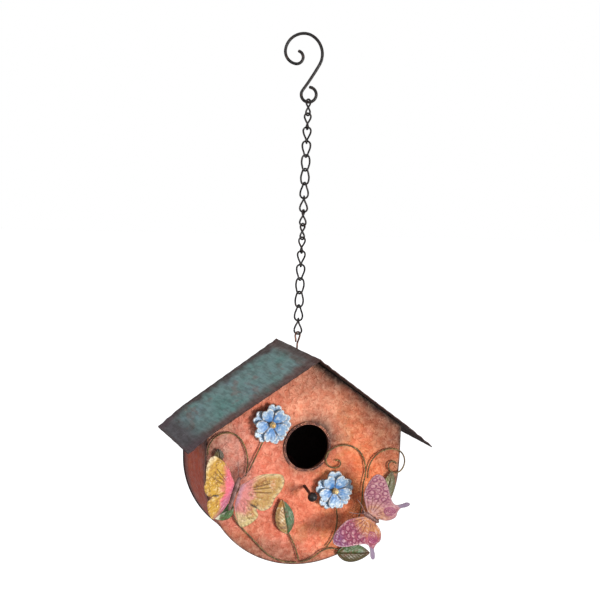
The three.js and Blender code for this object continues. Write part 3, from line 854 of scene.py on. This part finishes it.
def make_rim():
    """Two rolled beads side by side round the hole, and a flange behind the panel."""
    low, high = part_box("entrance_rim")
    middle = middle_of("entrance_rim")
    rim_width = 2.3 * MM
    beads_at = 0.62 * MM
    hole = (high.x - low.x) / 2 - rim_width
    depth = high.y - low.y
    flange_front = depth - 0.6 * MM
    neck, flange = hole + 0.4 * MM, hole + 1.6 * MM
    profile = [(hole, 1.0 * MM)]
    profile += arc_profile(hole + 0.62 * MM, beads_at, 0.6 * MM, 180, 340, 9)
    profile += arc_profile(hole + 1.72 * MM, beads_at, 0.55 * MM, 200, 360, 9)
    profile += [(hole + 2.2 * MM, 0.9 * MM), (neck, 0.95 * MM), (neck, flange_front)]
    profile += [(flange, flange_front), (flange, depth), (hole, depth)]
    base = (middle.x, low.y, middle.z)
    faced_out(piece("entrance_rim", *turned(profile, base, (0, 1, 0), 112), "rim"))


def make_perch():
    low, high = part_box("perch")
    wire, ball = 1.3 * MM, 4 * MM
    x = (low.x + high.x) / 2
    root = Vector((x, high.y, high.z - wire))
    tip = Vector((x, low.y + ball, low.z + ball))
    reach = (tip - root).length
    profile = [(0, 0), (wire, 0), (wire * 1.02, reach * 0.4), (wire, reach - ball * 1.25)]
    profile += [(wire * 1.35, reach - ball * 1.02), (wire * 1.5, reach - ball * 0.9)]
    profile += arc_profile(0, reach, ball, -63, 84, 18)
    profile += [(0, reach + ball)]
    faced_out(piece("perch", *turned(profile, root, tip - root, 40), "wire"))


def softened(node):
    """The CAD node's own shape, rounded by two subdivisions, as corners and faces."""
    mesh = welded(node)
    bmesh.ops.join_triangles(mesh, faces=mesh.faces, angle_face_threshold=0.6, angle_shape_threshold=1.2)
    data = bpy.data.meshes.new("soft")
    mesh.to_mesh(data)
    mesh.free()
    holder = bpy.data.objects.new("soft", data)
    bpy.context.scene.collection.objects.link(holder)
    rounding = holder.modifiers.new("round", "SUBSURF")
    rounding.levels = 2
    done = holder.evaluated_get(bpy.context.evaluated_depsgraph_get()).to_mesh()
    points = places_of(done.vertices)
    faces = [tuple(face.vertices) for face in done.polygons]
    bpy.data.objects.remove(holder)
    return points, faces


def crisp(node, material, edge):
    """The CAD node's own shape with small rounded edges."""
    mesh = welded(node)
    sharp = [e for e in mesh.edges if e.is_manifold and e.calc_face_angle() > math.radians(32)]
    bmesh.ops.bevel(mesh, geom=sharp, offset=edge, segments=2, profile=0.5, affect="EDGES")
    mesh.verts.ensure_lookup_table()
    mesh.verts.index_update()
    points = places_of(mesh.verts)
    faces = [tuple(v.index for v in face.verts) for face in mesh.faces]
    mesh.free()
    piece(node, points, faces, material, sharp=30)


def make_fittings():
    crisp("eye_nut", "eye_wire", 0.2 * MM)
    crisp("door_rivet", "rim", 0.18 * MM)
    crisp("door_knob", "rim", 0.25 * MM)


# ---- flowers
def make_petals(flower, layer, dish):
    node = f"{flower}_{layer}_petals"
    plate = Plate(node, FRONT, 0.5 * MM)
    centre = middle_of(f"{flower}_bead")
    x, z = (plate.u - centre.x) / MM, (plate.v - centre.z) / MM
    reach = np.hypot(x, z)
    around = np.arctan2(z, x)
    rim = plate.edge < 0.05 * MM
    weight = reach[rim] - reach[rim].mean()
    turn = np.angle((weight * np.exp(5j * around[rim])).sum()) / 5
    size = reach.max()
    half = np.pi / 5
    offset = (around - turn + half) % (2 * half) - half
    across = reach * np.sin(offset)
    gap = reach * np.sin(half - np.abs(offset))
    share = reach / size
    along_petal = np.column_stack([across / 2.2, share * 2.5, np.full(len(x), turn)])
    grain = cloud(along_petal, 0.42, 3, 5 if layer == "back" else 6)

    puff = ease(gap, 0, 3.2) * ease(share, 0.12, 0.5) * (0.75 + 0.25 * line(across, 4.5))
    crease = line(across, 0.6) * ease(share, 0.3, 0.6) * 0.35
    groove = line(gap, 0.5) * ease(share, 0.1, 0.2)
    lip = line(plate.edge / MM - 0.9, 0.5) * 0.25
    relief = (0.95 * puff - crease - 0.35 * groove + lip + 0.14 * grain - 0.55) * MM
    relief *= ease(plate.edge, -0.4 * MM, 1.6 * MM)

    speck = cloud(plate.place, 1.3 * MM, 3, 8)
    blot = cloud(plate.place, 3.2 * MM, 3, 9)
    white = ease(share + 0.25 * grain, 0.5, 0.7) * ease(0.5 + 0.5 * blot + 0.5 * speck, 0.1, 0.6)
    star = line(gap, 0.6) * ease(share, 0.12, 0.2) * (1 - ease(share, 0.5, 0.66))
    # a broken dark line round the petal edges: worn paint and a painted contact shadow
    wear_and_painted_light = line(plate.edge, (0.35 + 0.25 * (blot > 0.1)) * MM) * ease(0.5 - speck, 0, 0.5)
    paint = layered(
        0x789CC2,
        (0x4782C2, ease(0.7 - share + 0.35 * grain + 0.12 * blot, 0, 0.3) * 0.85),
        (0xA8C0D6, ease(share + 0.3 * grain + 0.12 * speck, 0.6, 0.85) * 0.8),
        (0x3A74B4, ease(blot + 0.5 * grain, 0.15, 0.6) * ease(0.95 - share, 0, 0.3) * 0.55),
        (0xC6D2DC, ease(-blot + 0.6 * speck, 0.2, 0.6) * 0.7),
        (0x7C7268, ease(blot - 0.7 * speck, 0.45, 0.8) * ease(share, 0.4, 0.8) * 0.5),
        (0xE8E3DA, ease(1.5 - plate.edge / MM + 0.9 * speck, 0, 1.1) * white * 0.9),
        (0x3E302C, star * 0.9),
        (0x7E6034, (1 - ease(share, 0.14, 0.21)) * 0.95),
        (0x43342C, wear_and_painted_light * 0.9),
    )
    bow = dish * (1 - share ** 2)
    rise = 0.35 * MM
    plate.place[:, 1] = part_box(node)[0].y + rise
    plate.build(relief, paint, THIN_SHEET, "petal", dish=-bow, back=0x6B7F92)


def make_flower(flower):
    make_petals(flower, "back", 1.6 * MM)
    make_petals(flower, "front", 2.6 * MM)
    low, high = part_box(f"{flower}_bead")
    radius = (high.y - low.y) / 2
    profile = [(0, -radius)]
    profile += arc_profile(0, 0, radius * 0.98, -80, 20, 12)
    profile += [(radius * 1.15, radius * 0.45), (radius * 1.2, radius * 0.7)]
    profile += [(radius * 0.9, radius), (0, radius)]
    shape = turned(profile, middle_of(f"{flower}_bead"), (0, 1, 0), 28)
    faced_out(piece(f"{flower}_bead", *shape, "bead"))
    make_wire(f"{flower}_stem", "vine_wire")


# ---- leaves
LEAVES = {
    # node: direction from base to tip (x, z), left half, right half, tip, flakes, how much flake
    "leaf_centre": ((-6.8, 30.7), 0xB98F56, 0x3C6130, 0xC08436, 0xE6D6AE, 0.7),
    "leaf_lower_right": ((31.4, -2), 0x3F5A1E, 0x4C4018, 0x4E3416, 0xB9D4C8, 0.25),
    "leaf_lower_left": ((-18.2, -8.4), 0x5B7E45, 0x4A6B38, 0xE9E2C4, 0xF0EBD6, 0.6),
    "leaf_right": ((6, 28), 0x7A7442, 0x5E5A34, 0x6A6038, 0xA7A06C, 0.3),
    "leaf_left": ((-2, 11.5), 0x5E4E26, 0x473A1C, 0x3A2C16, 0x7A6A38, 0.2),
}


def make_leaf(node, direction, left, right, tip, flake, amount):
    middle = middle_of(node)
    along = (direction[0], 0, direction[1])
    plate = Plate(node, FRONT, 0.45 * MM, along, (middle.x, 0, middle.z))
    length = np.ptp(plate.u)
    share = (plate.u - plate.u.min()) / length
    across = plate.v / MM
    grain = cloud(plate.place, 2.4 * MM, 3, 41)
    patch = cloud(plate.place, 6 * MM, 3, 42)
    rib = line(across, 0.5)
    slant = share * length / MM - 1.3 * np.abs(across)
    veins = line((slant / 3.4 + 0.5) % 1 - 0.5, 0.16) * ease(np.abs(across), 0.6, 1.4)
    relief = (0.9 * ease(plate.edge / MM, 0, 3.5) - 0.75 * rib - 0.2 * veins + 0.16 * grain - 0.2) * MM
    paint = layered(
        left,
        (right, ease(-across + 0.8 * patch, -0.5, 0.5)),
        (tip, ease(share + 0.12 * patch, 0.72, 0.86) * ease(across + 2, 0, 1.5)),
        (flake, ease(patch + 0.6 * grain, 0.35, 0.6) * ease(across + 1, 0, 2) * amount),
        (0x6B3F22, ease(-patch + 0.8 * grain, 0.3, 0.6) * 0.6),
        (0x3A2E1C, np.maximum(rib * 0.6, veins * 0.2)),
        (0x2E2618, line(plate.edge, 0.25 * MM) * 0.8),
    )
    plate.build(relief, paint, LEAF_SHEET, "leaf", back=0x4A3E26)


# ---- butterflies
def broad_side(node):
    """Which way the broad side of a thin plate faces, taken towards the front."""
    mesh = welded(node)
    normal = max(mesh.faces, key=lambda face: face.calc_area()).normal.copy()
    mesh.free()
    return normal if normal.y < 0 else -normal


def body_line(name):
    """Where a butterfly's wings meet, and the way from there to its head."""
    mesh = welded(f"{name}_body")
    points = places_of(mesh.verts)
    mesh.free()
    middle = points.mean(0)
    axis = np.linalg.svd(points - middle)[2][0]
    if axis @ (np.array(middle_of(f"{name}_antennae")) - middle) < 0:
        axis = -axis
    reach = (points - middle) @ axis
    tail, head = reach.min(), reach.max()
    return middle + axis * (tail + (head - tail) * 0.55), axis


def rings_at(along, out, spots):
    """Thin rings round each (along, out, radius) of spots, in millimetres."""
    mark = np.zeros(len(along))
    for a, o, radius in spots:
        mark = np.maximum(mark, line(np.hypot(along - a, out - o) - radius, 0.6))
    return mark


def veins_at(along, out, angles, start, end):
    """Thin lines fanning out from the wing's root, at angles from the body's own line."""
    reach = np.hypot(along, out)
    angle = np.arctan2(out, along)
    mark = np.zeros(len(along))
    for turn in angles:
        mark = np.maximum(mark, line(reach * np.sin(angle - math.radians(turn)), 0.36))
    return mark * ease(reach, start, start + 2) * (1 - ease(reach, end - 3, end))


def scatter(pitch, radius, seed, low, high):
    """Rings on a loose lattice between two corners, in millimetres."""
    source = np.random.default_rng(seed)
    spots = []
    for row, o in enumerate(np.arange(low[1], high[1], pitch * 0.87)):
        for a in np.arange(low[0] + (row % 2) * pitch / 2, high[0], pitch):
            shift = source.uniform(-0.6, 0.6, 2)
            spots.append((a + shift[0], o + shift[1], radius * source.uniform(0.75, 1.1)))
    return spots


def yellow_wing(plate, along, out, left):
    reach = np.hypot(along, out)
    grain = cloud(plate.place, 2.2 * MM, 3, 51)
    patch = cloud(plate.place, 7 * MM, 3, 52)
    fan = veins_at(along, out, (33, 46, 58, 71, 84), 11, 36) * ease(patch + 0.9, 0.2, 0.9)
    fan = np.maximum(fan, veins_at(along, out, (104, 118, 133, 148), 8, 27))
    squiggle = cloud(plate.place, 3.4 * MM, 2, 53)
    curls = line(squiggle / 0.16, 0.7) * ease(cloud(plate.place, 7 * MM, 2, 54), 0.05, 0.3)
    curls = curls * ease(out, 9, 13)
    scallop = line((np.arctan2(out, along) * 9) % 1 - 0.5, 0.2) * ease(2.2 - plate.edge / MM, 0, 0.8)
    bars = veins_at(along, out, (58, 64, 72), 15, 33)
    ladder = line((along / 3.6) % 1 - 0.5, 0.11) * line(out - 19, 4.5) * line(along - 9, 7)
    split = line(along + 5.6 + 0.12 * (out - 20), 0.8) * ease(out, 14, 17) * (1 - ease(out, 21, 23))
    mark = np.maximum.reduce([fan * 0.4, curls * 0.8, bars, ladder * left, scallop * 0.6])
    if left:
        base = 0xC4962A
        ground = [
            (0x9E681E, ease(-patch + 0.4 * grain, 0.1, 0.7) * 0.7),
            (0xDC5C78, ease(16.5 - out + 4 * patch + 0.25 * along, 0, 6) * 0.92),
            (0x9C587C, ease(8 - out - along * 0.35 + 2 * patch, 0, 5) * 0.7),
            (0xE2CFA2, ease(reach + 2 * patch, 36, 42) * 0.9),
        ]
    else:
        base = 0xC0944A
        ground = [
            (0xC97C40, ease(patch, 0.1, 0.7) * 0.75),
            (0xB2702C, ease(-patch + 0.5 * grain, 0.2, 0.8) * 0.6),
            (0xDC7880, ease(19 - out + 5 * patch, 0, 8) * 0.8),
            (0xE08E5E, ease(along + 4 * patch, 12, 22) * ease(26 - out, 0, 8) * 0.7),
            (0xB0849A, ease(8 - out + 2 * patch, 0, 4) * 0.65),
            (0xE6CC94, ease(3.6 - plate.edge / MM + 1.8 * grain, 0, 3) * ease(out, 10, 20) * 0.85),
            (0xD8C688, ease(-along + 2 * patch, 12, 18) * 0.75),
        ]
    paint = layered(
        base,
        *ground,
        (0x8A561E, ease(grain - 0.3 * patch, 0.2, 0.5) * 0.25),
        (0xF0DFB4, ease(-grain + 0.5 * patch, 0.35, 0.6) * 0.35 * ease(out, 8, 16)),
        (0x5A3012, mark * 0.95),
        (0x1E1410, split),
        (0x7A5A34, line(plate.edge, 0.25 * MM) * 0.7),
    )
    return (0.16 * grain - 0.34 * mark - 0.4 * split) * MM, paint


def pink_wing(plate, along, out, left):
    reach = np.hypot(along, out)
    grain = cloud(plate.place, 2.2 * MM, 3, 61)
    patch = cloud(plate.place, 8 * MM, 3, 62)
    blot = cloud(plate.place, 3 * MM, 3, 63)
    outer = ease(reach + 2 * patch, 17, 22)
    ahead = outer * ease(along, -3, 0)
    spots = scatter(6.6, 2.5, 7, (-2, 11), (29, 42))
    rings = rings_at(along, out, spots) * ahead
    pale = rings_at(along, out, [(a, o, size * 0.3) for a, o, size in spots]) * ahead
    eye = rings_at(along, out, [(-8.5, 16, size) for size in (4.4, 2.9, 1.2)])
    fan = veins_at(along, out, (28, 42, 55, 68, 82), 6, 24)
    fan = np.maximum(fan, veins_at(along, out, (112, 128, 150), 5, 13))
    tail = ease(-along, 8, 10.5) * ease(out, 23.5, 26)
    if left:
        base, ring = 0x964256, 0x6E2346
        ground = [
            (0xBC7C4C, ease(22 - reach + 4 * patch, 0, 8)),
            (0xB04C64, ease(patch + 0.3 * grain, 0.1, 0.6) * outer * 0.7),
            (0x6C4A7C, ease(reach + 2 * patch, 33, 39) * 0.7),
        ]
    else:
        base, ring = 0xC48A8E, 0x7C2C58
        ground = [
            (0xCC9474, ease(20 - reach + 4 * patch - 0.2 * along, 0, 9) * 0.9),
            (0xC4969C, ease(patch, 0, 0.7) * 0.6),
        ]
    paint = layered(
        base,
        *ground,
        (0x8A4A5A, ease(grain - 0.3 * patch, 0.15, 0.5) * 0.5),
        (0xEBC9C4, ease(-grain + 0.3 * patch, 0.25, 0.55) * 0.4),
        (0xF0C4CE, pale * 0.3),
        (ring, rings * 0.9),
        (0x8E3468, eye * 0.85),
        (0x7E2E50, line(blot / 0.14, 0.8) * outer * 0.55),
        (0xDDB4AE, ease(blot, 0.35, 0.7) * 0.45),
        (0x6E3230, fan * 0.9),
        (0xD9B4B4, ease(1.2 - plate.edge / MM + 0.7 * grain, 0, 1.2) * 0.6),
        (0x8C7C94, tail * 0.9),
        (0x5C3444, line(plate.edge, 0.3 * MM) * 0.8),
    )
    return (0.14 * grain + 0.34 * np.maximum(rings, eye) - 0.25 * fan) * MM, paint


def make_butterfly(name, decorate):
    root, axis = body_line(name)
    for side in ("left", "right"):
        node = f"{name}_{side}_wing"
        facing = broad_side(node)
        plate = Plate(node, facing, 0.5 * MM, along=axis, origin=root)
        along, out = plate.u / MM, np.abs(plate.v) / MM
        relief, paint = decorate(plate, along, out, side == "left")
        relief = relief * ease(plate.edge, 0, 0.9 * MM)
        plate.build(relief, paint, THIN_SHEET, "wing")
    points, faces = softened(f"{name}_body")
    reach = (points - root) @ axis / MM
    ring = np.where(reach < -1, np.sin(reach * 2 * np.pi / 1.7), 0)
    from_line = points - root - np.outer((points - root) @ axis, axis)
    swell = 1.06 + 0.07 * ring + 0.03 * cloud(points, 1.5 * MM, 2, 71)
    points = points + from_line * (swell - 1)[:, None]
    piece(f"{name}_body", points, faces, "insect")
    piece(f"{name}_antennae", *softened(f"{name}_antennae"), "insect")
    make_wire(f"{name}_post", "vine_wire")


# ---- the whole
make_camera()
make_studio()
make_materials()
make_wire("hook", "wire", 5, 16)
for body in frame["bodies"]:
    if body.startswith("link_"):
        make_wire(body, "wire")
make_wire("roof_eye", "eye_wire", 3, 14)
for name in frame["nodes"]:
    if name.startswith("vine_"):
        make_wire(name, "vine_wire")
make_shell()
make_front()
make_back()
make_rim()
make_perch()
make_fittings()
for flower in ("flower_1", "flower_2"):
    make_flower(flower)
for node, look in LEAVES.items():
    make_leaf(node, *look)
make_butterfly("butterfly_1", yellow_wing)
make_butterfly("butterfly_2", pink_wing)
